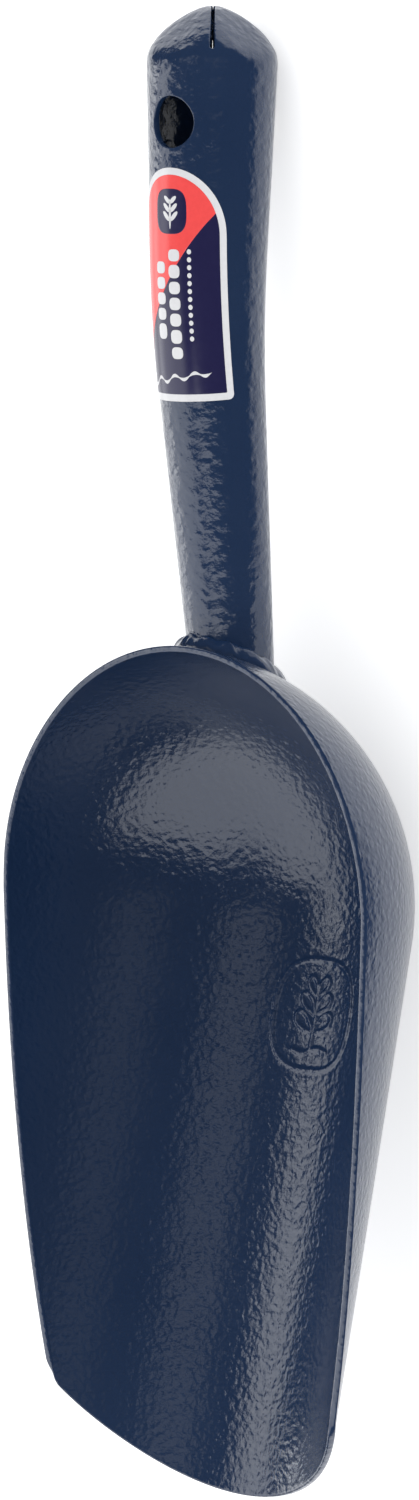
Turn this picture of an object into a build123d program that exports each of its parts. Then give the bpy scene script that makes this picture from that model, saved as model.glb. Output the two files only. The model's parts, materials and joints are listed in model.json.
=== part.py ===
# Feed scoop: a deep-drawn steel bowl with a tapered steel tube for a handle.
#
# The scoop lies on a table, open side up: it rests on the underside of the bowl's domed back and on
# the end of the handle, so the mouth stands clear of the table.  +Z is up, the mouth points to -Y,
# the handle to +Y, and X = 0 is the plane of symmetry.  Millimetres.
#
# The bowl is drawn on three planes through the centre of its dome, all tilted with it:
#   side   - the plane of symmetry; x runs from the dome to the mouth, y runs up out of the bowl
#   plan   - along the trough's axis; x runs from the dome to the mouth, y runs across
#   cross  - where the dome meets the trough; x runs across, y runs up out of the bowl

import os
from math import asin, atan, cos, hypot, radians, sin, sqrt

from build123d import *

os.makedirs("parts", exist_ok=True)

# Bowl: a round trough closed by part of a ball
bowl_radius = 59.5  # outside of the trough and of the dome
bowl_sheet = 1.5  # thickness of the steel sheet
tip_reach = 129.9  # dome centre to the middle of the mouth edge
corner_reach = 106.5  # dome centre to the corners where the side rims meet the mouth edge
corner_drop = 36.0  # corners below the trough's axis
rim_rise = 4.1  # back of the rim above the trough's axis
rim_bow = 1.5  # how far the side rims bow up between back and corner
mouth_fullness = 0.69  # exponent of the mouth edge: 0.5 is an ellipse, 1 is a parabola

# Handle: a tapered tube with one gentle bend, its end cut into four petals folded shut
root_radius = 9.25  # outside, at the start of the centre line, inside the dome
grip_radius = 15.0  # outside, at the fold
tube_wall = 1.5
root_back = 0.768 * bowl_radius  # centre line's start, behind the dome centre
root_drop = 0.282 * bowl_radius  # and below the trough's axis
lower_slope = 18.5  # degrees the lower length climbs, away from the bowl
upper_slope = 11.4  # degrees the upper length climbs
lower_length = 91.1
upper_length = 60.9
bend_radius = 290.0
cap_height = 11.5  # fold to the end of the petals
cap_shoulder = (5.6, 11.1)  # height and radius of a point half way up the folded petals
facet_lean = 47.0  # degrees between a petal's flattened middle and the tube
facet_clear = 0.4  # the flats start this far outside the tube
slit_width = 1.0
slit_start = 0.8  # slits end this far above the fold

# Hang hole, label and weld
hole_radius = 5.8
hole_from_fold = 15.1
hole_turn = 5.4  # degrees that hole and label are turned round the handle, towards +X
label_gap = 4.5  # from the hole's edge to the label's arched end
label_length = 51.4
label_width = 26.4  # measured round the tube
label_thickness = 0.15
label_corner = 1.2
weld_radius = 4.2  # the bead is round, its centre on the corner that it fills

# Tilt of the lying scoop: the line from under the fold that just touches the underside of the dome
bend_back = root_back + lower_length * cos(radians(lower_slope))
bend_up = lower_length * sin(radians(lower_slope)) - root_drop
fold_back = bend_back + upper_length * cos(radians(upper_slope))
fold_up = bend_up + upper_length * sin(radians(upper_slope))
heel_back = fold_back + grip_radius * sin(radians(upper_slope))
heel_up = fold_up - grip_radius * cos(radians(upper_slope))
tilt = atan(heel_up / heel_back) + asin(bowl_radius / hypot(heel_back, heel_up))

# Working planes, placed so that the origin is at the middle of the scoop's length
end_back = fold_back + cap_height * cos(radians(upper_slope))
end_up = fold_up + cap_height * sin(radians(upper_slope))
front_y = -tip_reach * cos(tilt) - bowl_radius * sin(tilt)
back_y = end_back * cos(tilt) + end_up * sin(tilt)
dome_centre = Vector(0, -(front_y + back_y) / 2, bowl_radius)
to_mouth = Vector(0, -cos(tilt), sin(tilt))
out_of_bowl = Vector(0, sin(tilt), cos(tilt))
side = Plane(origin=dome_centre, x_dir=to_mouth, z_dir=(-1, 0, 0))
plan = Plane(origin=dome_centre, x_dir=to_mouth, z_dir=out_of_bowl)
cross = Plane(origin=dome_centre, x_dir=(1, 0, 0), z_dir=to_mouth)
dome_axis = Axis(origin=dome_centre, direction=(1, 0, 0))

# Centre line of the handle
with BuildLine(side) as centre_line:
    FilletPolyline(
        (-root_back, -root_drop),
        (-bend_back, bend_up),
        (-fold_back, fold_up),
        radius=bend_radius,
    )
handle_path = centre_line.wire()


def across_handle(place):
    """Plane square to the handle at a place from 0 (root) to 1 (fold), its x across the scoop."""
    travel = place * handle_path.length
    return Plane(
        origin=handle_path.position_at(travel, PositionMode.LENGTH),
        x_dir=(1, 0, 0),
        z_dir=handle_path.tangent_at(travel, PositionMode.LENGTH),
    )


fold = across_handle(1)
grip_turn = Axis(origin=(0, 0, 0), direction=fold.z_dir)
up_from_hole = Vector(1, 0, 0).cross(fold.z_dir).rotate(grip_turn, hole_turn)
along_grip = Plane(origin=fold.origin, x_dir=fold.z_dir, z_dir=(1, 0, 0))
grip_axis = Axis(origin=fold.origin, direction=fold.z_dir)


def filled_bowl(inset):
    """Solid with the bowl's outer shape before the rim is cut, made smaller all over by inset."""
    radius = bowl_radius - inset
    with BuildPart() as filled:
        with BuildSketch(cross):
            with BuildLine():
                CenterArc((0, 0), radius, start_angle=180, arc_size=180)
                Line((radius, 0), (-radius, 0))
            make_face()
        revolve(axis=dome_axis, revolution_arc=180)
        with BuildSketch(cross):
            Circle(radius)
        extrude(amount=tip_reach + bowl_radius)
    return filled.part


def filled_handle(extra, places=(0, 0.2, 0.4, 0.6, 0.8, 1)):
    """Solid tapered rod along the handle, its radius larger than the tube's by extra."""
    with BuildPart() as filled:
        for place in places:
            with BuildSketch(across_handle(place)):
                Circle(root_radius + (grip_radius - root_radius) * place + extra)
        loft()
    return filled.part


def filled_cap(inset):
    """Solid end of the handle: a turned dome with four flats, one in the middle of each petal."""
    height = cap_height - inset
    with BuildPart() as filled:
        with BuildSketch(along_grip):
            with BuildLine():
                ThreePointArc(
                    (0, grip_radius - inset),
                    (cap_shoulder[0] - inset / 2, cap_shoulder[1] - inset),
                    (height, 0),
                )
                Line((height, 0), (0, 0))
                Line((0, 0), (0, grip_radius - inset))
            make_face()
        revolve(axis=grip_axis)
        flat = grip_radius + facet_clear - inset / cos(radians(facet_lean))
        with BuildSketch(fold):
            Rectangle(2 * flat, 2 * flat)
        extrude(amount=height, taper=facet_lean, mode=Mode.INTERSECT)
    return filled.part


outer_bowl = filled_bowl(0)
outer_tube = filled_handle(0)

# Bowl: the drawn shell, trimmed to its rim from the side and to its mouth edge from above
corner_half = sqrt(bowl_radius**2 - corner_drop**2)
mouth_steps = (0.25, 0.5, 0.7, 0.85, 0.95)


def mouth_reach(share):
    """How far the mouth edge reaches at a share of the way from its middle to a corner."""
    return corner_reach + (tip_reach - corner_reach) * (1 - share**2) ** mouth_fullness


with BuildPart() as bowl:
    add(outer_bowl)
    add(filled_bowl(bowl_sheet), mode=Mode.SUBTRACT)
    with BuildSketch(side):
        with BuildLine():
            rim = SagittaArc((-bowl_radius, rim_rise), (corner_reach, -corner_drop), -rim_bow)
            past_corner = PolarLine(rim @ 1, tip_reach, direction=rim % 1)
            Polyline(
                rim @ 0,
                (-2 * bowl_radius, rim_rise),
                (-2 * bowl_radius, -2 * bowl_radius),
                (3 * tip_reach, -2 * bowl_radius),
                (3 * tip_reach, -corner_drop),
                past_corner @ 1,
            )
        make_face()
    extrude(amount=2 * bowl_radius, both=True, mode=Mode.INTERSECT)
    with BuildSketch(plan):
        with BuildLine():
            far_side = [(mouth_reach(share), share * corner_half) for share in mouth_steps]
            near_side = [(reach, -across) for reach, across in reversed(far_side)]
            mouth_edge = Spline(
                (corner_reach, -corner_half),
                *near_side,
                (tip_reach, 0),
                *far_side,
                (corner_reach, corner_half),
            )
            Polyline(
                mouth_edge @ 1,
                (corner_reach, 2 * bowl_radius),
                (2 * tip_reach, 2 * bowl_radius),
                (2 * tip_reach, -2 * bowl_radius),
                (corner_reach, -2 * bowl_radius),
                mouth_edge @ 0,
            )
        make_face()
    extrude(amount=2 * bowl_radius, both=True, mode=Mode.SUBTRACT)
bowl.part.label = "bowl"
export_step(bowl.part, "parts/bowl.step")

# Handle: tube and folded cap in one, cut to a saddle where it meets the dome
with BuildPart() as handle:
    add(outer_tube)
    add(filled_cap(0))
    add(filled_handle(-tube_wall), mode=Mode.SUBTRACT)
    add(filled_cap(tube_wall), mode=Mode.SUBTRACT)
    add(outer_bowl, mode=Mode.SUBTRACT)
    with BuildSketch(fold.offset(slit_start)):
        Rectangle(2 * grip_radius, slit_width, rotation=45)
        Rectangle(2 * grip_radius, slit_width, rotation=-45)
    extrude(amount=cap_height, mode=Mode.SUBTRACT)
    hole_centre = fold.origin - fold.z_dir * hole_from_fold
    with BuildSketch(Plane(origin=hole_centre, x_dir=fold.z_dir, z_dir=up_from_hole)):
        Circle(hole_radius)
    extrude(amount=2 * grip_radius, both=True, mode=Mode.SUBTRACT)
handle.part.label = "handle"
export_step(handle.part, "parts/handle.step")

# Weld bead: a ring that fills the corner all round between the tube and the dome
taper = (grip_radius - root_radius) / handle_path.length


def seam_end(way):
    """Where the tube's top (way 1) or bottom (way -1) comes out of the dome, in the side plane."""
    slope = radians(lower_slope)
    climb = slope + way * atan(taper)
    start = (-root_back + way * root_radius * sin(slope), -root_drop + way * root_radius * cos(slope))
    start = Vector(*start)
    step = Vector(-cos(climb), sin(climb))
    along = start.dot(step)
    travel = sqrt(along**2 + bowl_radius**2 - start.dot(start)) - along
    return side.from_local_coords(start + step * travel)


seam_top = seam_end(1)
seam_bottom = seam_end(-1)
seam_middle = (seam_top + seam_bottom) / 2
seam_normal = (seam_top - seam_bottom).cross(Vector(1, 0, 0)).normalized()
seam_radius = ((seam_top - seam_bottom).length / 2 + root_radius) / 2
with BuildPart() as weld_bead:
    with Locations(Plane(origin=seam_middle, z_dir=seam_normal)):
        Torus(seam_radius, weld_radius)
    add(outer_bowl, mode=Mode.SUBTRACT)
    add(outer_tube, mode=Mode.SUBTRACT)
weld_bead.part.label = "weld_bead"
export_step(weld_bead.part, "parts/weld_bead.step")

# Label: a thin sticker wrapped round the top of the handle, arched towards the hang hole
label_top = hole_from_fold + hole_radius + label_gap
label_radius = grip_radius - taper * (label_top + label_length / 2)
label_half = label_radius * sin(label_width / 2 / label_radius)
with BuildPart() as label:
    add(filled_handle(label_thickness))
    add(outer_tube, mode=Mode.SUBTRACT)
    with BuildSketch(Plane(origin=fold.origin, x_dir=-fold.z_dir, z_dir=up_from_hole)):
        with BuildLine():
            arch = ThreePointArc(
                (label_top + label_half, -label_half),
                (label_top, 0),
                (label_top + label_half, label_half),
            )
            Polyline(
                arch @ 1,
                (label_top + label_length, label_half),
                (label_top + label_length, -label_half),
                arch @ 0,
            )
        outline = make_face()
        fillet(outline.vertices().sort_by(Axis.X)[-2:], label_corner)
    extrude(amount=2 * grip_radius, mode=Mode.INTERSECT)
label.part.label = "label"
export_step(label.part, "parts/label.step")
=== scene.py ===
"""Feed scoop: the painted steel bowl, its tube handle, the weld between them and the sticker.

Every shape is worked out with numpy in scoop coordinates and then put into the row frame.  Scoop
coordinates have their origin at the centre of the bowl's dome: toward runs along the trough to the
mouth, across runs sideways, and up runs out of the bowl.  All lengths are in metres.
"""

import json
import math

import bpy
import numpy as np
from bpy.props import FloatProperty, FloatVectorProperty, IntProperty, PointerProperty
from bpy.types import Operator, Panel, PropertyGroup
from mathutils import Matrix, Vector


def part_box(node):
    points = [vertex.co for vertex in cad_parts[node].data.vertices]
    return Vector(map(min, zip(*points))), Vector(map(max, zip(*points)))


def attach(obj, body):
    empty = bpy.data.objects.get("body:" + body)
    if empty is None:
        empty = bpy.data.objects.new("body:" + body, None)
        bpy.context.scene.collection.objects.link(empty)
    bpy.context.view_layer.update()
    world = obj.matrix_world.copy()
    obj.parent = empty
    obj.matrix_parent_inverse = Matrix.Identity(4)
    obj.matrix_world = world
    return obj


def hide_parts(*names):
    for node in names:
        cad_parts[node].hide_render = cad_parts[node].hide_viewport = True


bl_info = {
    "name": "Feed scoop",
    "version": (1, 0, 0),
    "blender": (4, 5, 0),
    "location": "View3D > Sidebar > Scoop",
    "description": "Builds a painted steel feed scoop with its sticker",
    "category": "Add Mesh",
}

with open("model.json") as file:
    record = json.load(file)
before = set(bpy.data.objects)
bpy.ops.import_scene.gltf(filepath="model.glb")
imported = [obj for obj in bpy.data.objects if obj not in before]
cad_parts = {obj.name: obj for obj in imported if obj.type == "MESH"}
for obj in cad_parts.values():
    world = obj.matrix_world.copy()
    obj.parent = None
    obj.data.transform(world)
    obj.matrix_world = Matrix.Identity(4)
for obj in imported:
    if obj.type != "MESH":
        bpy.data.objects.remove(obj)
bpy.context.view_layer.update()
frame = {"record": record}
hang_hole = next(m for m in frame["record"]["mounts"] if m["name"] == "hang_hole")
hole_bore = hang_hole["dims"]["r_mm"] / 1000

MM = 0.001

# Light that gloss mirrors: azimuth from the mouth, left and right, and elevation, low and high, in
# degrees, then brightness and softness of the edges
LIGHT_PATCHES = (
    (-90, 64, 26, 78, 1.95, 1.6),
    (-114, -90, 28, 50, 2.3, 1.2),
    (-93, -76, 5, 27, 1.5, 1.0),
    (-92, -52, -5, 22, 1.1, 1.0),
    (-260, -140, 62, 74, 0.65, 1.3),
    (148, 260, 62, 74, 0.65, 1.3),
    (100, 116, 22, 47, 0.25, 1.0),
)

# Bars printed on the sticker, in millimetres: name, place round the tube, half width, fullness of
# their ends, lengths down the sticker, start from the arched end, and gap between two bars
BARS = (
    ("heading", -3.35, 1.45, 3.1, (2.6, 2.6, 2.6, 2.6, 3.4), 21.0, 0.75),
    ("subject", 0.75, 1.5, 2.9, (2.6, 2.9, 2.7, 2.7, 2.8, 3.0, 2.6), 18.3, 0.75),
    ("foot", 4.65, 0.5, 2.0, (1.1,) * 12, 18.2, 0.62),
)

# The sprout's middle on the sticker, down from the arched end and round the tube
SPROUT_DOWN = 9.8 * MM
SPROUT_AROUND = -0.15 * MM


def size(name, description, default):
    """A length property, its default given in millimetres."""
    return FloatProperty(name=name, description=description, default=default * MM, unit="LENGTH", precision=5)


def turn(name, description, default):
    """An angle property, its default given in degrees."""
    return FloatProperty(name=name, description=description, default=math.radians(default), unit="ROTATION")


def share(name, description, default, top=1.0):
    """A plain number from 0 to top."""
    return FloatProperty(name=name, description=description, default=default, min=0.0, max=top)


def tint(name, description, default):
    """A colour property."""
    return FloatVectorProperty(
        name=name, description=description, default=default, subtype="COLOR", size=3, min=0.0, max=1.0
    )


# ----------------------------------------------------------------------------- sizes and colours


class ScoopBowlSizes(PropertyGroup):
    """The drawn bowl: a round trough closed by part of a ball."""

    radius: size("Radius", "Outside of the trough and of the dome", 59.5)
    sheet: size("Sheet", "Thickness of the steel", 1.5)
    tip_reach: size("Tip reach", "Dome centre to the middle of the mouth edge", 129.9)
    corner_reach: size("Corner reach", "Dome centre to the corners of the mouth", 105.8)
    corner_drop: size("Corner drop", "Corners below the trough's axis", 35.4)
    rim_rise: size("Rim rise", "Back of the rim above the trough's axis", 4.1)
    rim_bow: size("Rim bow", "How far the side rims bow up", 1.5)
    mouth_fullness: share("Mouth fullness", "Exponent of the mouth edge", 0.69)
    corner_round: size("Corner rounding", "Softness of the two mouth corners", 0.6)
    edge_round: size("Edge rounding", "How far the rounded edge stands past the skins", 0.5)
    mark_reach: size("Mark reach", "Dome centre to the middle of the pressed mark", 17.6)
    mark_half_length: size("Mark half length", "Along the trough", 13.6)
    mark_half_width: size("Mark half width", "Round the trough", 13.2)
    mark_height: size("Mark height", "How far the pressed lines stand up", 0.24)
    mark_line: size("Mark line", "Half width of a pressed line", 0.55)


class ScoopHandleSizes(PropertyGroup):
    """The tapered tube with its folded end."""

    root_radius: size("Root radius", "Outside, at the start of the centre line", 9.25)
    grip_radius: size("Grip radius", "Outside, at the fold", 15.0)
    wall: size("Wall", "Thickness of the tube", 1.5)
    root_back: size("Root back", "Start of the centre line behind the dome centre", 45.696)
    root_drop: size("Root drop", "Start of the centre line below the trough's axis", 16.779)
    lower_slope: turn("Lower slope", "Climb of the lower length", 18.5)
    upper_slope: turn("Upper slope", "Climb of the upper length", 11.4)
    lower_length: size("Lower length", "Root to the corner of the bend", 91.1)
    upper_length: size("Upper length", "Corner of the bend to the fold", 60.9)
    bend_radius: size("Bend radius", "Radius of the gentle bend", 290.0)
    cap_height: size("Cap height", "Fold to the end of the petals", 11.5)
    shoulder_height: size("Shoulder height", "Height of a point half way up the petals", 5.6)
    shoulder_radius: size("Shoulder radius", "Its distance from the tube's middle", 11.1)
    facet_lean: turn("Facet lean", "Angle between a petal's flat and the tube", 47.0)
    facet_clear: size("Facet clearance", "The flats start this far outside the tube", 0.1)
    fold_softness: size("Fold softness", "Rounding of the fold round the tube", 1.1)
    facet_softness: size("Facet softness", "Rounding between flats and dome", 2.2)
    slit_width: size("Slit width", "Gap between the petals at the open slit", 1.0)
    tight_slit: size("Tight slit", "Gap between the petals at the other three slits", 0.12)
    slit_start: size("Slit start", "Slits end this far above the fold", 1.4)
    edge_round: size("Edge rounding", "How far rounded edges stand past the skins", 0.3)


class ScoopWeldSizes(PropertyGroup):
    """The bead between tube and dome."""

    on_tube: size("Leg on the tube", "Reach of the bead along the tube", 3.3)
    on_dome: size("Leg on the dome", "Reach of the bead over the dome", 3.1)
    lump: size("Lumps", "Unevenness of the bead", 0.6)
    ripple: size("Ripple", "Height of the ripples left by the torch", 0.2)
    ripples: IntProperty(name="Ripples", description="Ripples all round the bead", default=15, min=1)


class ScoopLabelSizes(PropertyGroup):
    """The sticker, measured from the fold along the tube and round the tube."""

    start: size("Start", "Fold to the arched end", 25.4)
    length: size("Length", "Length of the sticker", 51.4)
    half_width: size("Half width", "Measured round the tube", 13.2)
    offset: size("Offset", "Middle line, measured round the tube", 1.35)
    arch: size("Arch", "Length of the arched end", 15.0)
    corner: size("Corner", "Rounding of the square corners", 1.2)
    border: size("Border", "White border", 1.55)
    film: size("Film", "Thickness of the film", 0.15)
    ink: size("Ink", "Thickness of each printed layer", 0.02)


class ScoopPaint(PropertyGroup):
    """Finishes."""

    enamel: tint("Enamel", "Navy hammertone enamel", (0.0072, 0.0185, 0.0500))
    enamel_thin: tint("Thin enamel", "Enamel where it has run thin", (0.0110, 0.0265, 0.0680))
    enamel_roughness: share("Enamel roughness", "Roughness of the cured gloss", 0.17)
    handle_grain: size("Handle grain", "Distance between hammer marks on the handle", 1.9)
    bowl_grain: size("Bowl grain", "Distance between hammer marks in the bowl", 1.25)
    handle_relief: size("Handle relief", "Height of the hammer marks on the handle", 0.22)
    bowl_relief: size("Bowl relief", "Height of the hammer marks in the bowl", 0.14)
    film_white: tint("Film white", "Unprinted film", (0.60, 0.60, 0.615))
    film_red: tint("Film red", "Red print", (0.74, 0.062, 0.060))
    film_navy: tint("Film navy", "Navy print", (0.011, 0.010, 0.050))


class ScoopStudio(PropertyGroup):
    """Floor, lights and camera."""

    distance: size("Camera distance", "Camera to the plane through the dome centre", 1800.0)
    aim_across: size("Aim across", "Sideways offset of the aim", 12.499)
    aim_along: size("Aim along", "Lengthways offset of the aim", -33.375)
    aim_origin: size("Aim origin", "Where the aim is measured from, behind the dome centre", 2.1)
    orbit: turn("Orbit", "Camera turned round the scoop's length", 45.0)
    nod: turn("Nod", "Camera tipped towards the handle", 3.314)
    roll: turn("Roll", "Camera rolled about its own line of sight", 9.065)
    lens: share("Lens", "Focal length in millimetres for a 36 mm long side", 190.08, 1000.0)
    floor: tint("Floor", "Pale floor", (0.86, 0.86, 0.865))
    tent: share("Tent", "Even light of the white tent on matt surfaces", 1.25, 10.0)
    floor_glow: share("Floor glow", "Light that the floor gives off by itself", 0.5, 10.0)
    floor_shine: share("Floor shine", "The same light as gloss mirrors it", 0.34, 10.0)
    # Near-black colour that the floor takes at the right for glossy rays only: a painted dark reflection. No
    # card is there for the camera or for matt light.
    reflected_dark: tint("Card", "Black card that gloss mirrors at the right", (0.03, 0.03, 0.035))
    # Where the fade into the painted dark reflection starts and ends, and how its edge steps further out
    # beside the bowl.
    reflected_dark_near: size("Card near", "Fade to the card starts this far from the scoop's middle", 20.0)
    reflected_dark_far: size("Card far", "Fade to the card ends this far from the scoop's middle", 45.0)
    reflected_dark_step: size("Card step", "The card's edge lies this much further out beside the bowl", 45.0)
    reflected_dark_bowl: size("Card bowl", "Place along the scoop up to which the edge lies further out", 10.0)
    reflected_dark_handle: size("Card handle", "Place along the scoop from which it lies close", 50.0)
    soft_edge: turn("Soft edge", "Half of the fade at the edges of the lights", 4.0)
    dark: share("Dark", "Brightness of the rest of the studio", 0.05, 10.0)


def settings():
    """The scene's property groups: sizes of each piece, finishes and studio."""
    return bpy.context.scene.scoop


class ScoopSettings(PropertyGroup):
    """Everything that a user may change, in one group."""

    bowl: PointerProperty(type=ScoopBowlSizes, name="Bowl", description="Sizes of the bowl")
    handle: PointerProperty(type=ScoopHandleSizes, name="Handle", description="Sizes of the handle")
    weld: PointerProperty(type=ScoopWeldSizes, name="Weld", description="Sizes of the weld")
    label: PointerProperty(type=ScoopLabelSizes, name="Label", description="Sizes of the sticker")
    paint: PointerProperty(type=ScoopPaint, name="Paint", description="Finishes")
    studio: PointerProperty(type=ScoopStudio, name="Studio", description="Floor, lights and camera")


# ----------------------------------------------------------------------------- placing


def tilt():
    """How far the lying scoop is tilted: the slope of the grip in scoop coordinates, plus the lean
    of the hang hole's axis along the scoop in the row frame."""
    axis = hang_hole["axis"]
    return settings().handle.upper_slope + math.atan2(axis[1], axis[2])


def dome_centre():
    """Row-frame y and z of the dome centre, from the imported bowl's lowest y and the tilted sizes."""
    bowl = settings().bowl
    lean = tilt()
    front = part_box("bowl")[0].y
    return front + bowl.tip_reach * math.cos(lean) + bowl.radius * math.sin(lean), bowl.radius


def direction_in_row(toward, across, up):
    """A direction in scoop coordinates, turned by the tilt into the row frame."""
    lean = tilt()
    y = -toward * math.cos(lean) + up * math.sin(lean)
    z = toward * math.sin(lean) + up * math.cos(lean)
    return np.stack(np.broadcast_arrays(across, y, z), axis=-1)


def in_row(toward, across, up):
    """A point in scoop coordinates, turned by the tilt and moved to the dome centre."""
    y, z = dome_centre()
    return direction_in_row(toward, across, up) + np.array([0.0, y, z])


# ----------------------------------------------------------------------------- mesh helpers


def grid_faces(rows, columns, closed=False):
    """Quads between neighbouring rows and columns of a grid; closed joins the last column to the first."""
    row = np.arange(rows - 1)[:, None]
    column = np.arange(columns if closed else columns - 1)[None, :]
    beside = (column + 1) % columns
    corners = (row * columns + column, row * columns + beside)
    above = (corners[1] + columns, corners[0] + columns)
    return np.stack(corners + above, axis=-1).reshape(-1, 4)


def stitched(patches):
    """Points and faces of several grids as one sheet: points that fall within two thousandths of a
    millimetre of each other become one, and faces that shrink to a line are dropped.  Each patch is
    (points of shape rows, columns, 3; closed)."""
    points, faces, count = [], [], 0
    for patch, closed in patches:
        rows, columns = patch.shape[:2]
        points.append(patch.reshape(-1, 3))
        faces.append(grid_faces(rows, columns, closed) + count)
        count += rows * columns
    points, faces = np.concatenate(points), np.concatenate(faces)
    keys = np.round(points / (2e-3 * MM)).astype(np.int64)
    _, first, where = np.unique(keys, axis=0, return_index=True, return_inverse=True)
    faces = where.reshape(-1)[faces]
    points = points[first]
    ordered = np.sort(faces, axis=1)
    different = 1 + (np.diff(ordered, axis=1) > 0).sum(axis=1)
    return points, faces[different >= 3]


def normals_of(points, faces):
    """Unit normals of a sheet at its points: the cross products of the diagonals of the faces that
    meet there, added up."""
    across = np.cross(points[faces[:, 2]] - points[faces[:, 0]], points[faces[:, 3]] - points[faces[:, 1]])
    total = np.zeros_like(points)
    for corner in range(4):
        np.add.at(total, faces[:, corner], across)
    return unit(total)


def closed_sheet(outer, inner, faces, reach, fullness=0.6, steps=7):
    """A wall with a rounded edge.  The outer and inner skins share their faces.  Along every free
    edge a band joins them: half of a superellipse whose half height is half the distance between
    the skins and whose reach is the distance that the edge stands out past them."""
    count = len(outer)
    if (normals_of(outer, faces) * (outer - inner)).sum() < 0:
        faces = faces[:, ::-1]
    edges = np.stack([faces.ravel(), np.roll(faces, -1, axis=1).ravel()], axis=1)
    edges = edges[edges[:, 0] != edges[:, 1]]
    code = edges.min(axis=1) * count + edges.max(axis=1)
    _, first, uses = np.unique(code, return_index=True, return_counts=True)
    free = edges[first[uses == 1]]
    after = np.full(count, -1)
    before = np.full(count, -1)
    after[free[:, 0]] = free[:, 1]
    before[free[:, 1]] = free[:, 0]
    rim = free[:, 0]
    across = outer[rim] - inner[rim]
    away = unit(np.cross(outer[after[rim]] - outer[before[rim]], across))
    middle = (outer[rim] + inner[rim]) / 2
    angle = (np.pi * np.arange(1, steps) / steps)[:, None, None]
    height = raised(np.cos(angle), fullness)
    stand = np.sin(angle) ** fullness
    band = middle + height * across / 2 + stand * reach * away
    place = np.full(count, -1)
    place[rim] = np.arange(len(rim))
    here = np.arange(len(rim))
    there = place[after[rim]]
    rings = [rim] + [2 * count + k * len(rim) + here for k in range(steps - 1)] + [count + rim]
    ahead = [r[there] for r in rings]
    bands = [
        np.stack([ahead[k], rings[k], rings[k + 1], ahead[k + 1]], axis=1) for k in range(steps)
    ]
    points = np.concatenate([outer, inner, band.reshape(-1, 3)])
    return points, np.concatenate([faces, faces[:, ::-1] + count] + bands)


def outward(points, faces):
    """The faces of a closed shape, turned round if its volume comes out negative."""
    a, b, c, d = (points[faces[:, k]] for k in range(4))
    volume = (a * np.cross(b, c)).sum() + (a * np.cross(c, d)).sum()
    return faces if volume > 0 else faces[:, ::-1]


def add_piece(name, points, faces, material, replaced=None):
    """Puts points and faces into a smooth mesh that rides on the scoop."""
    keep = faces != np.roll(faces, 1, axis=1)
    whole = keep.all(axis=1)
    quads = faces[whole].tolist()
    corners = [face[mask].tolist() for face, mask in zip(faces[~whole], keep[~whole])]
    mesh = bpy.data.meshes.new(name)
    mesh.from_pydata(points.tolist(), [], quads + corners)
    mesh.polygons.foreach_set("use_smooth", np.ones(len(mesh.polygons), dtype=bool))
    mesh.update()
    piece = bpy.data.objects.new(name, mesh)
    bpy.context.scene.collection.objects.link(piece)
    mesh.materials.append(material)
    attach(piece, "root")
    if replaced:
        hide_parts(replaced)
    return piece


# ----------------------------------------------------------------------------- curves and blends


def unit(vectors):
    """Vectors brought to length 1."""
    return vectors / np.maximum(np.linalg.norm(vectors, axis=1, keepdims=True), 1e-12)


def raised(value, power):
    """The size of a number raised to a power, its sign kept."""
    return np.sign(value) * np.abs(value) ** power


def softer_of(a, b, softness, way=1.0):
    """The smaller of two values (way 1) or the larger (way -1), rounded where they are closer than
    softness: the plain one, less a quarter of softness times the square of their closeness."""
    close = np.clip(softness - np.abs(a - b), 0.0, None) / softness
    plain = np.minimum(a, b) if way > 0 else np.maximum(a, b)
    return plain - way * close**2 * softness / 4


def arc_through(first, middle, last):
    """Centre and radius of the circle through three points of a plane."""
    rows = 2 * np.array([np.subtract(middle, first), np.subtract(last, first)])
    sides = [np.dot(middle, middle) - np.dot(first, first), np.dot(last, last) - np.dot(first, first)]
    centre = np.linalg.solve(rows, sides)
    return centre, math.dist(centre, first)


def nearest(u, v, stroke):
    """Distance from each point (u, v) to the nearest sample of a stroke, an array of points."""
    across = u[..., None] - stroke[:, 0]
    along = v[..., None] - stroke[:, 1]
    return np.sqrt((across**2 + along**2).min(axis=-1))


# ----------------------------------------------------------------------------- bowl


def rim_height(toward):
    """Height of the side rim over the trough's axis: an arc from the back of the dome to the mouth
    corner that bows up, carried on as a straight line past the corner."""
    bowl = settings().bowl
    back, top = -bowl.radius, bowl.rim_rise
    chord = math.hypot(bowl.corner_reach - back, bowl.corner_drop + top)
    lean = math.atan2(-bowl.corner_drop - top, bowl.corner_reach - back)
    radius = (chord / 2) ** 2 / (2 * bowl.rim_bow) + bowl.rim_bow / 2
    middle_t, middle_z = (back + bowl.corner_reach) / 2, (top - bowl.corner_drop) / 2
    sink = radius - bowl.rim_bow
    centre_t = middle_t + sink * math.sin(lean)
    centre_z = middle_z - sink * math.cos(lean)
    on_arc = centre_z + np.sqrt(np.clip(radius**2 - (toward - centre_t) ** 2, 0, None))
    end_slope = -(bowl.corner_reach - centre_t) / (-bowl.corner_drop - centre_z)
    past = -bowl.corner_drop + end_slope * (toward - bowl.corner_reach)
    return np.where(toward > bowl.corner_reach, past, on_arc)


def mouth_reach(across):
    """Reach of the mouth edge: the corner's reach plus the rest times (1 - share squared) to the
    fullness, share being the way from the middle to a corner."""
    bowl = settings().bowl
    half = math.sqrt(bowl.radius**2 - bowl.corner_drop**2)
    left = np.clip(1 - (across / half) ** 2, 0, 1)
    return bowl.corner_reach + (bowl.tip_reach - bowl.corner_reach) * left**bowl.mouth_fullness


def on_bowl(girth, run, radius):
    """A point of the bowl: girth is measured round the trough from its lowest line and run along it
    from the dome's start, both on the outside; behind the start, run goes over the ball."""
    full = settings().bowl.radius
    round_angle = girth / full
    over = np.clip(-run / full, 0, math.radians(112))
    drop = radius * np.cos(round_angle)
    toward = np.where(run >= 0, run, -drop * np.sin(over))
    return toward, radius * np.sin(round_angle), -drop * np.cos(over)


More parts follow.
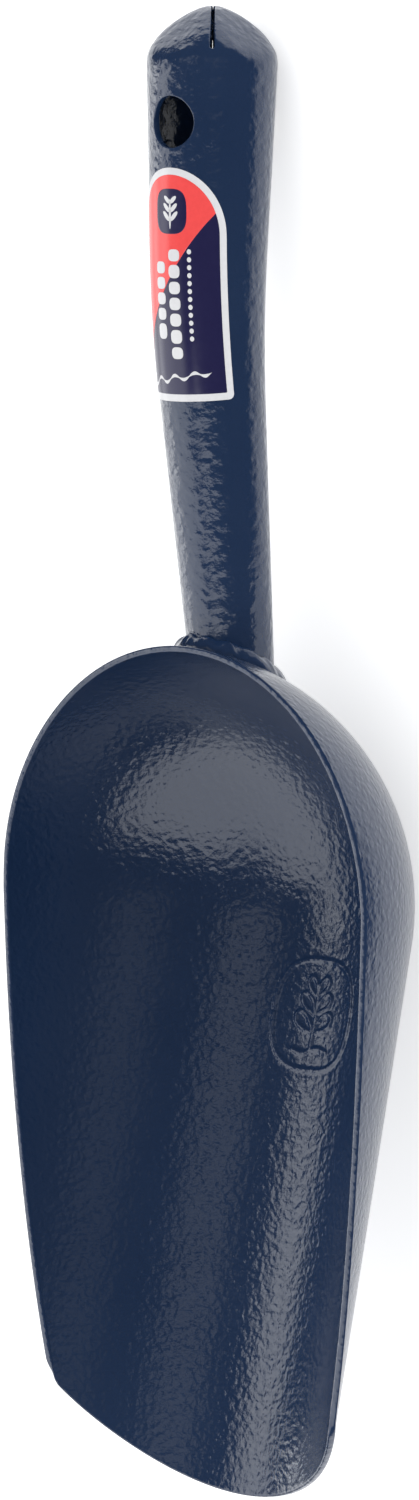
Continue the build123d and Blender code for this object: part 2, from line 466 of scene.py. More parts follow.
def past_edge(girth, run, radius):
    """How far a point of the bowl lies past the rim or the mouth edge, less than 0 inside: the
    larger of the two heights over the cuts, rounded at the corner."""
    limit = settings().bowl.radius * math.pi / 2
    toward, across, up = on_bowl(np.clip(girth, -limit, limit), run, radius)
    softness = settings().bowl.corner_round
    return softer_of(up - rim_height(toward), toward - mouth_reach(across), softness, -1.0)


def edge_distance(girth, run, radius):
    """The same as a true distance over the sheet: the height over the cut divided by its slope."""
    step = 0.15 * MM
    here = past_edge(girth, run, radius)
    slope_g = (past_edge(girth + step, run, radius) - past_edge(girth - step, run, radius)) / (2 * step)
    slope_r = (past_edge(girth, run + step, radius) - past_edge(girth, run - step, radius)) / (2 * step)
    return here / np.maximum(np.hypot(slope_g, slope_r), 0.05)


def reach_of_rays(directions, start, radius, inset):
    """Length of straight rays over the rolled-out bowl from the mark to inset short of its edge,
    by halving the interval between a length inside and a length outside."""
    near = np.zeros(len(directions))
    far = np.full(len(directions), 0.17)
    for _ in range(34):
        half = (near + far) / 2
        girth = directions[:, 0] * half
        run = start + directions[:, 1] * half
        inside = edge_distance(girth, run, radius) < -inset
        near = np.where(inside, half, near)
        far = np.where(inside, far, half)
    return near


def sprout_strokes():
    """The pressed mark's lines as arrays of points in units of its half width and half length: a
    rounded oval frame, a stem, three pairs of leaves with pointed ends and a ground line."""
    way = np.linspace(0, 2 * np.pi, 260)
    power = 2 / 2.7
    oval = 0.95 * np.stack([raised(np.cos(way), power), raised(np.sin(way), power)], axis=1)
    part = np.linspace(0, 1, 60)
    strokes = [oval, np.stack([0.03 * np.sin(3 * part), 0.62 - 1.16 * part], axis=1)]
    strokes.append(np.stack([-0.42 + 0.84 * part, 0.62 + 0.05 * np.sin(2 * np.pi * part)], axis=1))
    around = np.linspace(0, 2 * np.pi, 90)
    for height, length, lean in ((0.30, 0.52, 0.95), (-0.02, 0.46, 0.80), (-0.32, 0.38, 0.62)):
        along = length * (1 - np.cos(around)) / 2
        wide = 0.30 * length * np.sin(around) * np.sin(around / 2)
        for side in (-1, 1):
            u = side * (along * math.sin(lean) + wide * math.cos(lean))
            v = height - along * math.cos(lean) + wide * math.sin(lean)
            strokes.append(np.stack([u, v], axis=1))
    return strokes


def mark_relief(girth, run):
    """Height of the pressed mark over the inner skin: full along a line's middle third, and falling
    from there by a smooth step to nothing a little past the line's edge."""
    bowl = settings().bowl
    u, v = girth, run - bowl.mark_reach
    scale = np.array([bowl.mark_half_width, bowl.mark_half_length])
    gap = np.full(u.shape, 1.0)
    for stroke in sprout_strokes():
        gap = np.minimum(gap, nearest(u, v, stroke * scale))
    fade = np.clip((gap - 0.35 * bowl.mark_line) / (1.25 * bowl.mark_line), 0, 1)
    return bowl.mark_height * (1 - fade * fade * (3 - 2 * fade))


def bowl_skins():
    """Outer and inner skin of the bowl on one grid of rays: each ray runs straight over the rolled-out
    bowl from the middle of the mark to the edge, in even short steps across the mark and in longer
    steps beyond, with a last short step that carries the edge's rounding."""
    bowl = settings().bowl
    sweep = np.linspace(-np.pi, np.pi, 4001)
    corner = math.atan2(
        bowl.radius * math.acos(bowl.corner_drop / bowl.radius), bowl.corner_reach - bowl.mark_reach
    )
    density = 1 + 7 * np.exp(-(((np.abs(sweep) - corner) / 0.035) ** 2))
    total = np.concatenate([[0], np.cumsum((density[1:] + density[:-1]) / 2)])
    angles = np.interp(np.linspace(0, total[-1], 401)[:-1], total, sweep)
    rays = np.stack([np.sin(angles), np.cos(angles)], axis=1)
    fine = np.linspace(0, 15.2 * MM, 43)
    coarse = np.concatenate([np.linspace(0, 1, 54)[1:-1] ** 0.93, [0.9965, 1.0]])
    skins = []
    for radius in (bowl.radius, bowl.radius - bowl.sheet):
        reach = reach_of_rays(rays, bowl.mark_reach, radius, bowl.edge_round)
        beyond = fine[-1] + coarse[:, None] * (reach[None, :] - fine[-1])
        travel = np.concatenate([np.broadcast_to(fine[:, None], (len(fine), len(rays))), beyond])
        girth = travel * rays[:, 0]
        run = bowl.mark_reach + travel * rays[:, 1]
        if radius < bowl.radius:
            near_mark = np.zeros(girth.shape)
            near_mark[: len(fine) + 1] = mark_relief(girth[: len(fine) + 1], run[: len(fine) + 1])
            radius = radius - near_mark
        skins.append(in_row(*on_bowl(girth, run, radius)))
    return skins


# ----------------------------------------------------------------------------- handle


def tube_centre(travel):
    """The handle's centre line: straight up the lower slope, an arc of the bend's radius, and
    straight up the upper slope.  Gives toward, up and the slope at each travel from the root."""
    handle = settings().handle
    low, high = handle.lower_slope, handle.upper_slope
    corner = handle.bend_radius * math.tan((low - high) / 2)
    first = handle.lower_length - corner
    arc = handle.bend_radius * (low - high)
    straight = np.minimum(travel, first)
    bent = np.clip(travel - first, 0, arc)
    rest = np.maximum(travel - first - arc, 0)
    slope = low - bent / handle.bend_radius
    back = handle.root_back + straight * math.cos(low) + rest * math.cos(high)
    back = back + handle.bend_radius * (math.sin(low) - np.sin(slope))
    up = -handle.root_drop + straight * math.sin(low) + rest * math.sin(high)
    up = up + handle.bend_radius * (np.cos(slope) - math.cos(low))
    return -back, up, slope


def tube_length():
    """Length of the centre line from the root to the fold."""
    handle = settings().handle
    low, high = handle.lower_slope, handle.upper_slope
    corner = handle.bend_radius * math.tan((low - high) / 2)
    return handle.lower_length + handle.upper_length - 2 * corner + handle.bend_radius * (low - high)


def tube_radius(travel):
    """The tube's radius grows evenly from the root to the fold."""
    handle = settings().handle
    return handle.root_radius + (handle.grip_radius - handle.root_radius) * travel / tube_length()


def round_tube(travel, angle, radius):
    """A point round the centre line: radius away from it, angle measured from the side that faces
    out of the bowl."""
    toward, up, slope = tube_centre(travel)
    raised = radius * np.cos(angle)
    return toward + raised * np.sin(slope), radius * np.sin(angle), up + raised * np.cos(slope)


def tube_point(travel, angle):
    """A point of the tube's outside in the row frame."""
    return in_row(*round_tube(travel, angle, tube_radius(travel)))


def saddle_start(angle, sunk=0.0):
    """Travel at which the line along the tube at this angle comes out of the dome: the root of the
    quadratic for a straight line leaving a ball."""
    handle = settings().handle
    low = handle.lower_slope
    growth = (handle.grip_radius - handle.root_radius) / tube_length()
    root = round_tube(np.zeros_like(angle), angle, handle.root_radius)
    start = np.stack(np.broadcast_arrays(*root), -1)
    step = np.stack(
        [
            -math.cos(low) + growth * np.cos(angle) * math.sin(low),
            growth * np.sin(angle),
            math.sin(low) + growth * np.cos(angle) * math.cos(low),
        ],
        axis=-1,
    )
    ball = settings().bowl.radius - sunk
    a = (step * step).sum(-1)
    b = (start * step).sum(-1)
    c = (start * start).sum(-1) - ball**2
    return (-b + np.sqrt(b * b - a * c)) / a


def cap_arc():
    """Centre height, centre radius and radius of the arc that turns the folded end, from the fold
    over the shoulder to the tip."""
    handle = settings().handle
    shoulder = (handle.shoulder_height, handle.shoulder_radius)
    (centre_h, centre_r), arc = arc_through((0.0, handle.grip_radius), shoulder, (handle.cap_height, 0.0))
    return centre_h, centre_r, arc


def cap_radius(height, angle):
    """Distance from the tube's middle to the folded end at a height over the fold: the smallest of
    the tube, a turned arc and the flats of the petals, rounded where they meet."""
    handle = settings().handle
    centre_h, centre_r, arc = cap_arc()
    turned = centre_r + np.sqrt(np.clip(arc**2 - (height - centre_h) ** 2, 0, None))
    tube = tube_radius(tube_length() + height)
    lean = math.tan(handle.facet_lean)
    flat = (handle.grip_radius + handle.facet_clear - height * lean) / np.cos(angle)
    rounded = softer_of(tube, turned, handle.fold_softness)
    return softer_of(rounded, flat, handle.facet_softness)


def handle_skin():
    """The handle's outer skin as one sheet of stitched grids: the shaft from its saddle, a square of
    skin round each end of the hang hole, the skin between the squares, and four petals."""
    handle = settings().handle
    quarter = np.concatenate([[-1, -0.985], np.linspace(-0.955, 0.955, 23), [0.985, 1]]) * math.pi / 4
    length = tube_length()
    fold = in_row(*round_tube(np.array(length), np.array(0.0), np.array(0.0)))
    hole_travel = length - math.dist(fold, hang_hole["pos_m"])
    hole_turn = math.asin(hang_hole["axis"][0])
    square = 9.6 * MM
    first, last = hole_travel - square, hole_travel + square
    edge = handle.edge_round
    patches = []
    along = np.concatenate([[0, 0.002], np.linspace(0.012, 1, 78)])[:, None]
    between = first + (last - first) * (quarter / (math.pi / 2) + 0.5)
    for side in range(4):
        angle = side * math.pi / 2 + quarter
        start = saddle_start(angle, 0.15 * MM)
        travel = start + along * (first - start)
        travel[-1] = first
        patches.append((tube_point(travel, angle), False))
        if side % 2:
            travel = between[:, None] + np.zeros_like(angle)
            patches.append((tube_point(travel, angle), False))
            continue
        steps = len(quarter) - 1
        low_end = np.full(steps, first)
        high_end = np.full(steps, last)
        border_travel = np.concatenate([low_end, between[:-1], high_end, between[:0:-1]])
        border_turn = np.concatenate(
            [quarter[:-1], np.full(steps, quarter[-1]), quarter[:0:-1], np.full(steps, quarter[0])]
        )
        sideways = tube_radius(border_travel) * np.sin(border_turn - hole_turn)
        aim = np.arctan2(sideways, border_travel - hole_travel)
        bore = hole_bore + edge
        hole_run = hole_travel + bore * np.cos(aim)
        bore_turn = hole_turn + np.arcsin(bore * np.sin(aim) / tube_radius(hole_run))
        ring = np.array([0, 0.03, 0.1, 0.2, 0.3, 0.42, 0.54, 0.66, 0.78, 0.9, 1.0])[:, None]
        travel = hole_run * (1 - ring) + border_travel * ring
        turned = bore_turn * (1 - ring) + border_turn * ring
        travel[-1], turned[-1] = border_travel, border_turn
        angle_here = side * math.pi / 2 + turned
        patches.append((tube_point(travel, angle_here)[:, ::-1], True))

    slit = handle.slit_start
    centre_h, centre_r, arc = cap_arc()
    deepest = handle.slit_width / 2 + edge
    tip_opening = 1.25 * MM
    tip_angle = math.asin((tip_opening - centre_r) / arc)
    crown = np.linspace(math.acos((slit + deepest - centre_h) / arc), tip_angle, 26)
    heights = np.concatenate(
        [
            np.linspace(last - length, slit, 14),
            slit + deepest * np.array([0.03, 0.12, 0.3, 0.6]),
            centre_h + arc * np.cos(crown),
        ]
    )[:, None]
    slit_radius = cap_radius(heights, np.full((1, 1), math.pi / 4))
    edges = []
    for width in (handle.slit_width, handle.tight_slit, handle.tight_slit, handle.tight_slit):
        gap = width / 2 + edge
        deep = np.clip(heights - slit, 0, gap)
        opening = np.sqrt(gap**2 - (gap - deep) ** 2)
        edges.append(math.pi / 4 - np.arcsin(opening / slit_radius))
    for side in range(4):
        widest = np.where(quarter > 0, edges[side], edges[side - 1])
        turned = quarter * widest / (math.pi / 4)
        radius = cap_radius(heights, turned)
        radius[0] = tube_radius(last)
        travel = np.full_like(radius, length) + heights
        travel[0] = last
        patches.append((in_row(*round_tube(travel, side * math.pi / 2 + turned, radius)), False))
    return stitched(patches)


# ----------------------------------------------------------------------------- weld


def weld_surface():
    """The bead as a closed section carried round the seam.  Its face is the part of a superellipse
    between a leg along the tube and a leg over the dome; its back lies a little under both skins.
    Legs and fullness swell with a few sine waves and with the ripples of the torch."""
    weld = settings().weld
    angle = np.linspace(0, 2 * np.pi, 320, endpoint=False)
    step = 1e-4
    start = saddle_start(angle)
    seam = np.stack(round_tube(start, angle, tube_radius(start)), -1)
    ahead = np.stack(round_tube(start + step, angle, tube_radius(start + step)), -1)
    tube_way = unit(ahead - seam)
    side_way = unit(np.roll(seam, -1, axis=0) - np.roll(seam, 1, axis=0))
    dome_out = unit(seam)
    tube_out = np.cross(side_way, tube_way)
    tube_out *= np.sign((tube_out * (seam - seam.mean(axis=0))).sum(axis=1, keepdims=True))
    dome_way = np.cross(side_way, dome_out)
    dome_way *= np.sign((dome_way * tube_out).sum(axis=1, keepdims=True))
    dice = np.random.default_rng(7)
    waves = [
        sum(
            dice.normal() * np.cos(k * angle + dice.uniform(0, 2 * np.pi)) / k**0.6
            for k in range(2, 15)
        )
        for _ in range(3)
    ]
    lump = [wave / np.abs(wave).max() for wave in waves]
    beat = np.cos(weld.ripples * angle + 3.0 * lump[2]) * (0.6 + 0.4 * lump[0])
    on_tube = weld.on_tube + weld.lump * lump[0] + 0.35 * weld.ripple * beat
    on_dome = weld.on_dome + weld.lump * lump[1] + 0.35 * weld.ripple * beat
    part = np.linspace(0, np.pi / 2, 15)
    fullness = 1.42 + 0.22 * lump[2][:, None]
    tube_share = np.clip(np.cos(part), 0, 1) ** fullness
    dome_share = np.sin(part) ** fullness
    face = (
        seam[:, None]
        + (tube_share * on_tube[:, None])[..., None] * tube_way[:, None]
        + (dome_share * on_dome[:, None])[..., None] * dome_way[:, None]
    )
    swell = np.sin(2 * part) * (weld.ripple * beat[:, None])
    bisector = unit(tube_out + dome_out)
    face = face + swell[..., None] * bisector[:, None]
    under = 0.35 * MM
    tuck_tube = seam + on_tube[:, None] * tube_way - under * tube_out
    tuck_dome = seam + on_dome[:, None] * dome_way - under * dome_out
    heel = seam - under * bisector
    section = np.concatenate([face, tuck_dome[:, None], heel[:, None], tuck_tube[:, None]], axis=1)
    section = np.swapaxes(section, 0, 1)
    section = np.concatenate([section, section[:1]])
    return in_row(section[..., 0], section[..., 1], section[..., 2])


# ----------------------------------------------------------------------------- sticker


def on_label(down, around, lift):
    """A point of the sticker: down from the fold along the tube, around it from its middle line,
    and lift above the paint."""
    travel = tube_length() - down
    radius = tube_radius(travel)
    return in_row(*round_tube(travel, around / radius, radius + lift))


def label_half(down, inset=0.0):
    """Half width of the sticker at a place: an ellipse over the arched end, straight sides, and
    round corners at the square end, all drawn in by inset."""
    label = settings().label
    half, arch = label.half_width - inset, label.arch - inset
    top = label.start + inset
    bottom = label.start + label.length - inset
    corner = max(label.corner - inset, 0.25 * MM)
    rise = np.clip((down - top) / arch, 0, 1)
    arched = half * np.sqrt(1 - (1 - rise) ** 2)
    low = np.clip(down - (bottom - corner), 0, corner)
    return np.minimum(arched, half - corner + np.sqrt(corner**2 - low**2))


def rows_of_label(inset=0.0, count=60):
    """Places down the sticker, closer together at its arched end and its corners."""
    label = settings().label
    top, bottom = label.start + inset, label.start + label.length - inset
    arch = top + (label.arch - inset) * (1 - np.cos(np.linspace(0, np.pi / 2, 26)))
    corner = max(label.corner - inset, 0.25 * MM)
    ends = bottom - corner + corner * np.sin(np.linspace(0, np.pi / 2, 9))
    middle = np.linspace(arch[-1], ends[0], count)[1:-1]
    return np.concatenate([arch, middle, ends])


def print_layer(name, down, left, right, layer, material, columns=24, replaced=None):
    """A printed shape between a left and a right edge given at places down the sticker, as a thin
    closed sheet on the layer that it is printed on."""
    label = settings().label
    top = label.film + layer * label.ink
    under = 0.02 * MM
    bottom = top - label.ink if layer else -under
    part = np.linspace(0, 1, columns)
    around = label.offset + left[:, None] + (right - left)[:, None] * part
    down = down[:, None] + np.zeros_like(around)
    outer, faces = stitched([(on_label(down, around, top), False)])
    normals = normals_of(outer, faces)
    facing = np.sign((normals * (outer - on_label_axis())).sum())
    inner = outer - facing * normals * (top - bottom)
    points, faces = closed_sheet(outer, inner, faces, 0.25 * (top - bottom), steps=3)
    return add_piece(name, points, outward(points, faces), material, replaced)


def on_label_axis():
    """The middle of the grip, to tell the sticker's outside from its inside."""
    label = settings().label
    travel = tube_length() - label.start - label.length / 2
    toward, up, _ = tube_centre(np.array(travel))
    return in_row(toward, 0.0, up)


def blob_outline(centre_down, centre_around, half_down, half_around, power=2.0, count=19):
    """Edges of a rounded shape at places down the sticker: a superellipse of that power."""
    way = np.linspace(-np.pi / 2, np.pi / 2, count)
    down = centre_down + half_down * np.sin(way)
    wide = half_around * np.clip(1 - np.abs(np.sin(way)) ** power, 0, 1) ** (1 / power)
    return down, centre_around - wide, centre_around + wide


# ----------------------------------------------------------------------------- finishes


def feed(tree, target, values):
    """Fills a node's inputs, given by name or number: a socket is linked, anything else is set."""
    for key, value in values.items():
        if isinstance(value, bpy.types.NodeSocket):
            tree.links.new(value, target.inputs[key])
        else:
            target.inputs[key].default_value = value


def node(tree, kind, values, **attributes):
    """Adds a node, sets its plain attributes and fills its inputs."""
    made = tree.nodes.new(kind)
    for key, value in attributes.items():
        setattr(made, key, value)
    feed(tree, made, values)
    return made


def maths(tree, operation, *values):
    """The result of one calculation with numbers or sockets."""
    return node(tree, "ShaderNodeMath", dict(enumerate(values)), operation=operation).outputs["Value"]


def shift(tree, operation, values):
    """The result of one calculation with vectors."""
    return node(tree, "ShaderNodeVectorMath", values, operation=operation).outputs["Vector"]


def noise(tree, place, scale, detail, roughness, output="Fac"):
    """A noise over the place given."""
    values = {"Vector": place, "Scale": scale, "Detail": detail, "Roughness": roughness}
    return node(tree, "ShaderNodeTexNoise", values).outputs[output]


def ranged(tree, value, low, high, start=0.0, end=1.0, **attributes):
    """A value carried over from the range low to high to the range start to end."""
    values = {"Value": value, "From Min": low, "From Max": high, "To Min": start, "To Max": end}
    return node(tree, "ShaderNodeMapRange", values, **attributes).outputs["Result"]


def stepped(tree, value, low, high, start=0.0, end=1.0):
    """The same, eased in and out."""
    return ranged(tree, value, low, high, start, end, interpolation_type="SMOOTHSTEP")


def blended(tree, part, first, second):
    """The colour that lies between two colours."""
    values = {0: part, 6: (*first, 1.0), 7: (*second, 1.0)}
    return node(tree, "ShaderNodeMix", values, data_type="RGBA").outputs[2]


def bumped(tree, height, distance):
    """The surface normal bent by a height."""
    values = {"Height": height, "Strength": 1.0, "Distance": distance}
    return node(tree, "ShaderNodeBump", values).outputs["Normal"]


def coordinates(tree, output="Object"):
    """Where a point lies on its object, or, with Generated, the direction into the room."""
    return node(tree, "ShaderNodeTexCoord", {}).outputs[output]


def blank_material(name):
    """A new material, its node tree and its shader."""
    material = bpy.data.materials.new(name)
    material.use_nodes = True
    return material, material.node_tree, material.node_tree.nodes["Principled BSDF"]


def hammertone(name, grain, relief):
    """Hammertone enamel: soft round cells pushed out of line by noise make the relief, a finer noise
    makes the orange peel, and a slow noise moves colour and gloss between thick and thin enamel."""
    paint = settings().paint
    material, tree, shader = blank_material(name)
    place = coordinates(tree)
    push = noise(tree, place, 0.45 / grain, 1.0, 0.5, "Color")
    centred = shift(tree, "SUBTRACT", {0: push, 1: (0.5, 0.5, 0.5)})
    scaled = shift(tree, "SCALE", {0: centred, "Scale": 1.5 * grain})
    moved = shift(tree, "ADD", {0: place, 1: scaled})
    values = {"Vector": moved, "Scale": 0.8 / grain, "Smoothness": 0.85}
    cells = node(tree, "ShaderNodeTexVoronoi", values, feature="SMOOTH_F1").outputs["Distance"]
    peel = maths(tree, "MULTIPLY", noise(tree, place, 1.6 / grain, 2.0, 0.55), 0.55)
    bump = bumped(tree, maths(tree, "ADD", maths(tree, "SUBTRACT", 1.0, cells), peel), relief)
    slow = noise(tree, place, 28.0, 3.0, 0.6)
    rough = paint.enamel_roughness
    finish = {
        "Metallic": 0.0,
        "IOR": 1.42,
        "Coat Weight": 0.5,
        "Coat Roughness": 0.06,
        "Coat IOR": 1.5,
        "Normal": bump,
        "Coat Normal": bump,
        "Base Color": blended(tree, slow, paint.enamel, paint.enamel_thin),
        "Roughness": ranged(tree, slow, 0.3, 0.8, rough * 0.85, rough * 1.25),
    }
    feed(tree, shader, finish)
    return material


def printed_film(name, colour, gloss=0.16):
    """Printed film: the ink's colour, with a faint mottle and a slow waviness of the film."""
    material, tree, shader = blank_material(name)
    place = coordinates(tree)
    mottle = noise(tree, place, 900.0, 2.0, 0.6)
    darker, lighter = [c * 0.93 for c in colour], [min(c * 1.07, 1.0) for c in colour]
    finish = {
        "IOR": 1.5,
        "Base Color": blended(tree, mottle, darker, lighter),
        "Normal": bumped(tree, noise(tree, place, 240.0, 1.0, 0.5), 0.04 * MM),
        "Roughness": ranged(tree, mottle, 0.0, 1.0, gloss, gloss * 1.5),
    }
    feed(tree, shader, finish)
    return material


# ----------------------------------------------------------------------------- operators


class SCOOP_OT_bowl(Operator):
    """Build the drawn steel bowl with its rounded rim and pressed sprout mark"""

    bl_idname = "scoop.bowl"
    bl_label = "Bowl"

    def execute(self, context):
        sizes = context.scene.scoop
        paint = hammertone("bowl_enamel", sizes.paint.bowl_grain, sizes.paint.bowl_relief)
        outer, inner = bowl_skins()
        rows, columns = outer.shape[:2]
        outer, inner = (np.concatenate([skin[0, :1], skin[1:].reshape(-1, 3)]) for skin in (outer, inner))
        faces = grid_faces(rows, columns, closed=True)
        faces = np.where(faces < columns, 0, faces - columns + 1)
        points, faces = closed_sheet(outer, inner, faces, sizes.bowl.edge_round)
        add_piece("scoop_bowl", points, faces, paint, "bowl")
        return {"FINISHED"}


class SCOOP_OT_handle(Operator):
    """Build the tapered tube handle with its hang hole and folded end"""

    bl_idname = "scoop.handle"
    bl_label = "Handle"

    def execute(self, context):
        sizes = context.scene.scoop
        paint = hammertone("handle_enamel", sizes.paint.handle_grain, sizes.paint.handle_relief)
        outer, faces = handle_skin()
        normals = normals_of(outer, faces)
        middle = outer.mean(axis=0)
        if (normals * (outer - middle)).sum() < 0:
            normals = -normals
        inner = outer - sizes.handle.wall * normals
        points, faces = closed_sheet(outer, inner, faces, sizes.handle.edge_round)
        add_piece("scoop_handle", points, faces, paint, "handle")
        return {"FINISHED"}


class SCOOP_OT_weld(Operator):
    """Build the rippled weld bead between handle and bowl"""

    bl_idname = "scoop.weld"
    bl_label = "Weld"

    def execute(self, context):
        sizes = context.scene.scoop
        paint = hammertone("weld_enamel", 1.3 * sizes.paint.handle_grain, 1.5 * sizes.paint.handle_relief)
        points, faces = stitched([(weld_surface(), True)])
        add_piece("scoop_weld", points, outward(points, faces), paint, "weld_bead")
        return {"FINISHED"}


class SCOOP_OT_label(Operator):
    """Build the sticker: film, red and navy fields, a sprout on a plate, plain bars and a waved line"""

    bl_idname = "scoop.label"
    bl_label = "Sticker"

    def execute(self, context):
        sizes = context.scene.scoop
        label, paint = sizes.label, sizes.paint
        white = printed_film("film_white", paint.film_white)
        red = printed_film("film_red", paint.film_red)
        navy = printed_film("film_navy", paint.film_navy)
        down = rows_of_label()
        half = label_half(down)
        print_layer("label_film", down, -half, half, 0, white, 48, "label")
        down = rows_of_label(label.border)
        half = label_half(down, label.border)
        print_layer("label_navy_field", down, -half, half, 1, navy, 48)
        edge = self.red_edge(label, down, half)
        stop = edge > -half + 0.3 * MM
        print_layer("label_red_field", down[stop], -half[stop], edge[stop], 2, red, 40)
        print_layer(
            "label_plate",
            *blob_outline(label.start + SPROUT_DOWN, SPROUT_AROUND, 5.1 * MM, 4.3 * MM, 3.2, 33),
            3,
            navy,
        )
        self.sprout(label, white)
        self.bars(label, white)
        return {"FINISHED"}

    def red_edge(self, label, down, half):
        """Right edge of the red field: the border for the first two thirds of the arch, and from
        there a sweep down to the left that slowly steepens."""
        sweep_start, sweep_around = 10.3 * MM, 10.75
        reach = (down - label.start - sweep_start) / MM
        swoop = sweep_around - 1.12 * np.clip(reach, 0, None) ** 0.87 + 6 * np.clip(-reach, 0, None)
        return softer_of(half, swoop * MM, 0.4 * MM)

    def sprout(self, label, white):
        """A stem and three pairs of leaves, each leaf a slim ellipse leaning off the stem."""
        down = label.start + SPROUT_DOWN
        stem = blob_outline(down + 0.6 * MM, SPROUT_AROUND, 3.4 * MM, 0.28 * MM)
        print_layer("label_sprout_stem", *stem, 4, white, 6)
        for row, (drop, length) in enumerate(((-2.6, 1.5), (-0.8, 1.75), (1.1, 1.9))):
            for side in (-1, 1):
                way = np.linspace(-1, 1, 17)
                wide = 0.62 * MM * np.sqrt(1 - way**2)
                lean = side * (0.95 + 0.72 * way) * MM * length / 1.7
                place = down + (drop - way * 0.9 * length / 1.5) * MM
                name = "label_sprout_leaf_%d_%s" % (row + 1, "left" if side < 0 else "right")
                middle = SPROUT_AROUND + lean
                print_layer(name, place[::-1], (middle - wide)[::-1], (middle + wide)[::-1], 4, white, 8)

    def bars(self, label, white):
        """Rows of plain rounded bars down the sticker, and a waved line across its end."""
        for title, around, half, power, lengths, start, gap in BARS:
            down = label.start + start * MM
            for index, length in enumerate(lengths):
                centre = down + length / 2 * MM
                outline = blob_outline(centre, around * MM, length / 2 * MM, half * MM, power, 15)
                print_layer("label_%s_%d" % (title, index + 1), *outline, 4, white, 10)
                down += (length + gap) * MM
        way = np.linspace(0, 1, 60)
        centre = label.start + (47.4 - 2.2 * way + 0.75 * np.sin(way * 7 * math.pi) * (1 - 0.4 * way)) * MM
        around = (-9.5 + 18.0 * way) * MM
        self.waved(label, centre, around, white)

    def waved(self, label, centre, around, white):
        """A line across the sticker that swells and thins as a pen stroke does."""
        way = np.linspace(0, 1, len(centre))
        ends = np.minimum(1, 12 * np.minimum(way, 1 - way) + 0.3)
        half = (0.12 + 0.26 * np.abs(np.sin(way * 7 * math.pi))) * MM * ends
        lift = label.film + 2 * label.ink
        part = np.array([-1.0, -0.5, 0.0, 0.5, 1.0])[:, None]
        down = centre + part * half
        turned = label.offset + around + 0 * part
        outer = on_label(down, turned, lift).reshape(-1, 3)
        inner = on_label(down, turned, lift - label.ink).reshape(-1, 3)
        faces = grid_faces(5, len(centre))
        points, faces = closed_sheet(outer, inner, faces, 0.3 * label.ink, steps=3)
        add_piece("label_waved_line", points, outward(points, faces), white)


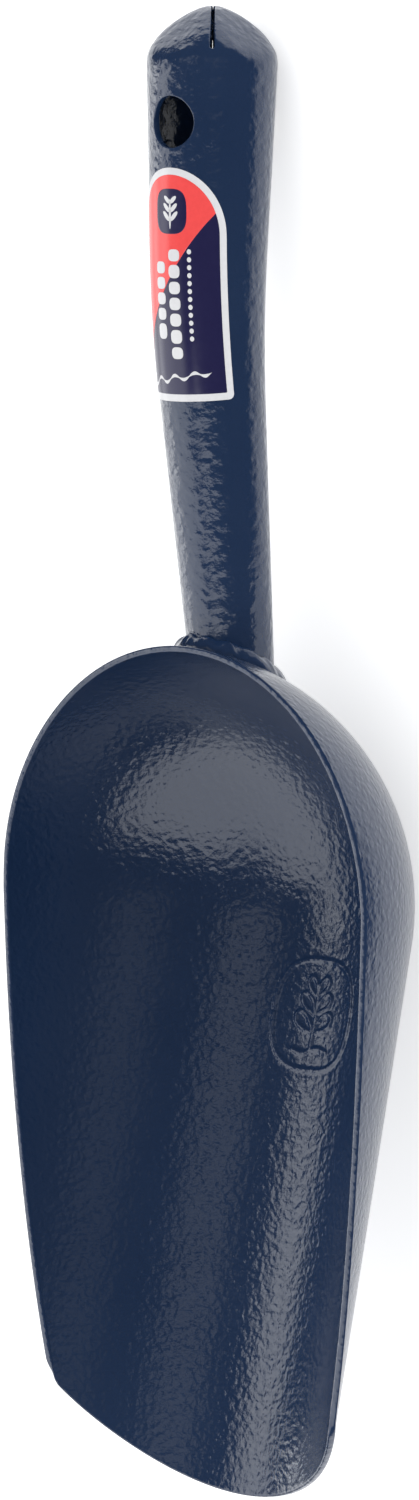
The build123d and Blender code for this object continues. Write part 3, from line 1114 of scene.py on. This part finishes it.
class SCOOP_OT_stage(Operator):
    """Set the pale floor, the soft lights and the camera"""

    bl_idname = "scoop.stage"
    bl_label = "Stage"

    def execute(self, context):
        self.floor(context)
        self.lights(context)
        self.camera(context)
        context.scene.view_settings.view_transform = "Standard"
        context.scene.view_settings.look = "None"
        return {"FINISHED"}

    def floor(self, context):
        """A wide flat sheet whose height is zero everywhere."""
        studio = context.scene.scoop.studio
        count = 13
        side = np.linspace(-3.0, 3.0, count)
        x, y = np.meshgrid(side, side, indexing="ij")
        points = np.stack([x, y, np.zeros_like(x)], axis=-1).reshape(-1, 3)
        mesh = bpy.data.meshes.new("floor")
        mesh.from_pydata(points.tolist(), [], grid_faces(count, count)[:, ::-1].tolist())
        mesh.update()
        floor = bpy.data.objects.new("floor", mesh)
        context.scene.collection.objects.link(floor)
        mesh.materials.append(self.paper(studio))

    def paper(self, studio):
        """Pale paper with a little light of its own.  For glossy rays only, its light and colour fade out to
        near black towards the right, the edge of the fade running close to the handle and further out beside
        the bowl: a painted dark reflection, with no card there for the camera or for matt light."""
        material, tree, shader = blank_material("floor_paper")
        x, y, _ = node(tree, "ShaderNodeSeparateXYZ", {0: coordinates(tree)}).outputs
        further = stepped(tree, y, studio.reflected_dark_bowl, studio.reflected_dark_handle, studio.reflected_dark_step, 0.0)
        near, far = studio.reflected_dark_near, studio.reflected_dark_far
        # How far into the painted dark reflection a point of the floor lies, from 0 to 1.
        reflected_dark = stepped(tree, maths(tree, "SUBTRACT", x, further), near, far)
        glossy = node(tree, "ShaderNodeLightPath", {}).outputs["Is Glossy Ray"]
        # Painted dark reflection: only glossy rays see the floor turn dark and stop glowing here.
        painted_dark_reflection = maths(tree, "MULTIPLY", reflected_dark, glossy)
        light = ranged(tree, glossy, 0.0, 1.0, studio.floor_glow, studio.floor_shine)
        finish = {
            "Roughness": 0.9,
            "Specular IOR Level": 0.1,
            "Emission Color": (1.0, 1.0, 1.0, 1.0),
            "Emission Strength": ranged(tree, painted_dark_reflection, 0.0, 1.0, light, 0.0),
            "Base Color": blended(tree, painted_dark_reflection, studio.floor, studio.reflected_dark),
        }
        feed(tree, shader, finish)
        return material

    def lights(self, context):
        """The room, and one large soft panel overhead that gloss doesn't mirror."""
        studio = context.scene.scoop.studio
        context.scene.world = self.room(studio)
        light = bpy.data.lights.new("overhead_panel", "AREA")
        light.shape = "RECTANGLE"
        light.size = light.size_y = 1.8
        light.energy = 3.0
        panel = bpy.data.objects.new("overhead_panel", light)
        panel.location = (-0.55, -0.35, 1.9)
        panel.rotation_euler = (-panel.location).to_track_quat("-Z", "Y").to_euler()
        panel.visible_glossy = False
        context.scene.collection.objects.link(panel)

    def room(self, studio):
        """A white tent for matt surfaces.  What gloss mirrors is drawn by azimuth and elevation: a
        long soft box in front and above, panels and a low white wall at the left, faint panels
        behind and at the right, and a dark rest."""
        world = bpy.data.worlds.new("studio_room")
        world.use_nodes = True
        tree = world.node_tree
        place = coordinates(tree, "Generated")
        x, y, z = node(tree, "ShaderNodeSeparateXYZ", {0: place}).outputs
        azimuth = maths(tree, "ARCTAN2", x, maths(tree, "MULTIPLY", y, -1.0))
        elevation = maths(tree, "ARCSINE", z)
        gloss = studio.dark
        for left, right, low, high, level, soft in LIGHT_PATCHES:
            spread = soft * studio.soft_edge
            patch = 1.0
            for angle, edge, way in (
                (azimuth, left, spread),
                (azimuth, right, -spread),
                (elevation, low, spread),
                (elevation, high, -spread),
            ):
                edge = math.radians(edge)
                patch = maths(tree, "MULTIPLY", patch, stepped(tree, angle, edge - way, edge + way))
            gloss = maths(tree, "ADD", gloss, maths(tree, "MULTIPLY", patch, level))
        glossy = node(tree, "ShaderNodeLightPath", {}).outputs["Is Glossy Ray"]
        tent = maths(tree, "MULTIPLY", maths(tree, "SUBTRACT", 1.0, glossy), studio.tent)
        strength = maths(tree, "ADD", tent, maths(tree, "MULTIPLY", gloss, glossy))
        feed(tree, tree.nodes["Background"], {"Strength": strength, "Color": (0.985, 0.992, 1.0, 1.0)})
        return world

    def camera(self, context):
        """The camera stands off the dome centre along a line turned round the scoop's length, tipped
        towards the handle and rolled about itself."""
        studio = context.scene.scoop.studio
        orbit, nod, roll = studio.orbit, studio.nod, studio.roll
        turned = Matrix.Rotation(roll, 3, "Z") @ Matrix.Rotation(nod, 3, "X")
        turned = turned @ Matrix.Rotation(-orbit, 3, "Y")
        right, down, back = (np.array(turned[k]) for k in range(3))
        aim = studio.aim_across * right + studio.aim_along * down
        place = aim + studio.distance * back
        spot = in_row(place[1] - studio.aim_origin, place[0], place[2])
        axes = [direction_in_row(axis[1], axis[0], axis[2]) for axis in (right, -down, back)]
        lens = bpy.data.cameras.new("camera")
        lens.lens = studio.lens
        lens.sensor_width = 36.0
        lens.sensor_fit = "AUTO"
        lens.clip_start, lens.clip_end = 0.05, 30.0
        camera = bpy.data.objects.new("camera", lens)
        camera.matrix_world = Matrix.Translation(Vector(spot)) @ Matrix(np.array(axes).T.tolist()).to_4x4()
        context.scene.collection.objects.link(camera)
        context.scene.camera = camera


class SCOOP_PT_panel(Panel):
    """Lists the scoop's pieces and its stage"""

    bl_idname = "SCOOP_PT_panel"
    bl_label = "Feed scoop"
    bl_space_type = "VIEW_3D"
    bl_region_type = "UI"
    bl_category = "Scoop"

    def draw(self, context):
        for piece in (SCOOP_OT_bowl, SCOOP_OT_handle, SCOOP_OT_weld, SCOOP_OT_label, SCOOP_OT_stage):
            self.layout.operator(piece.bl_idname)


CLASSES = (
    ScoopBowlSizes,
    ScoopHandleSizes,
    ScoopWeldSizes,
    ScoopLabelSizes,
    ScoopPaint,
    ScoopStudio,
    ScoopSettings,
    SCOOP_OT_bowl,
    SCOOP_OT_handle,
    SCOOP_OT_weld,
    SCOOP_OT_label,
    SCOOP_OT_stage,
    SCOOP_PT_panel,
)


def register():
    """Registers the classes and hangs the settings on the scene."""
    for one in CLASSES:
        bpy.utils.register_class(one)
    bpy.types.Scene.scoop = PointerProperty(type=ScoopSettings, name="Scoop", description="Feed scoop")


def unregister():
    """Takes the settings and the classes away again."""
    del bpy.types.Scene.scoop
    for one in reversed(CLASSES):
        bpy.utils.unregister_class(one)


def main():
    register()
    bpy.ops.scoop.bowl()
    bpy.ops.scoop.handle()
    bpy.ops.scoop.weld()
    bpy.ops.scoop.label()
    bpy.ops.scoop.stage()


if __name__ == "__main__":
    main()
